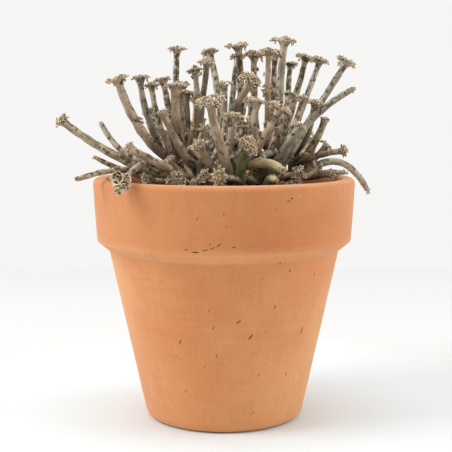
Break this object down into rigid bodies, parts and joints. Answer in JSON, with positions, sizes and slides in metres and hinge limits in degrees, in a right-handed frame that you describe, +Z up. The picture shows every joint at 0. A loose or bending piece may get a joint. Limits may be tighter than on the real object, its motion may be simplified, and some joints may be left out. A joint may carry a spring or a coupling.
{
  "type": "potted kalanchoe",
  "caption": "Chandelier plant with pencil-shaped leaves that carry plantlets at their tips, in a tapered terracotta pot with a banded rim.",
  "frame": {"origin": "middle of the pot's foot, on the surface that the pot stands on", "axes": "+Z up along the pot's axis, +X to the right and -Y towards a viewer in front of the plant"},
  "size_m": [0.176, 0.15, 0.218],
  "materials": {
    "terracotta": "matte",
    "potting_mix": "matte",
    "stem_bark": "matte",
    "leaf_rosy": "matte",
    "leaf_grey": "matte",
    "leaf_olive": "matte"
  },
  "bodies": {
    "root": {"pot": "terracotta", "potting_mix": "potting_mix", "stem_left": "stem_bark", "stem_left_front": "stem_bark", "stem_left_back": "stem_bark", "stem_middle_back": "stem_bark", "stem_middle_front": "stem_bark", "stem_right_front": "stem_bark", "stem_right": "stem_bark", "stem_right_back": "stem_bark", "leaf_left_1": "leaf_rosy", "leaf_left_2": "leaf_grey", "leaf_left_3": "leaf_olive", "leaf_left_4": "leaf_rosy", "leaf_left_5": "leaf_rosy", "leaf_left_6": "leaf_grey", "leaf_left_7": "leaf_olive", "leaf_left_8": "leaf_rosy", "leaf_left_9": "leaf_grey", "leaf_left_front_1": "leaf_olive", "leaf_left_front_2": "leaf_rosy", "leaf_left_front_3": "leaf_olive", "leaf_left_front_4": "leaf_rosy", "leaf_left_back_1": "leaf_olive", "leaf_left_back_2": "leaf_grey", "leaf_left_back_3": "leaf_olive", "leaf_left_back_4": "leaf_rosy", "leaf_left_back_5": "leaf_rosy", "leaf_left_back_6": "leaf_grey", "leaf_left_back_7": "leaf_rosy", "leaf_middle_back_1": "leaf_grey", "leaf_middle_back_2": "leaf_grey", "leaf_middle_back_3": "leaf_olive", "leaf_middle_back_4": "leaf_grey", "leaf_middle_back_5": "leaf_olive", "leaf_middle_back_6": "leaf_rosy", "leaf_middle_front_1": "leaf_rosy", "leaf_middle_front_2": "leaf_grey", "leaf_middle_front_3": "leaf_rosy", "leaf_middle_front_4": "leaf_grey", "leaf_middle_front_5": "leaf_rosy", "leaf_right_front_1": "leaf_olive", "leaf_right_front_2": "leaf_rosy", "leaf_right_front_3": "leaf_grey", "leaf_right_front_4": "leaf_rosy", "leaf_right_front_5": "leaf_grey", "leaf_right_front_6": "leaf_grey", "leaf_right_1": "leaf_grey", "leaf_right_2": "leaf_olive", "leaf_right_3": "leaf_rosy", "leaf_right_4": "leaf_grey", "leaf_right_5": "leaf_rosy", "leaf_right_6": "leaf_rosy", "leaf_right_back_1": "leaf_rosy", "leaf_right_back_2": "leaf_rosy", "leaf_right_back_3": "leaf_grey", "leaf_right_back_4": "leaf_grey", "leaf_right_back_5": "leaf_olive", "leaf_right_back_6": "leaf_grey", "leaf_right_back_7": "leaf_rosy"}
  },
  "joints": []
}
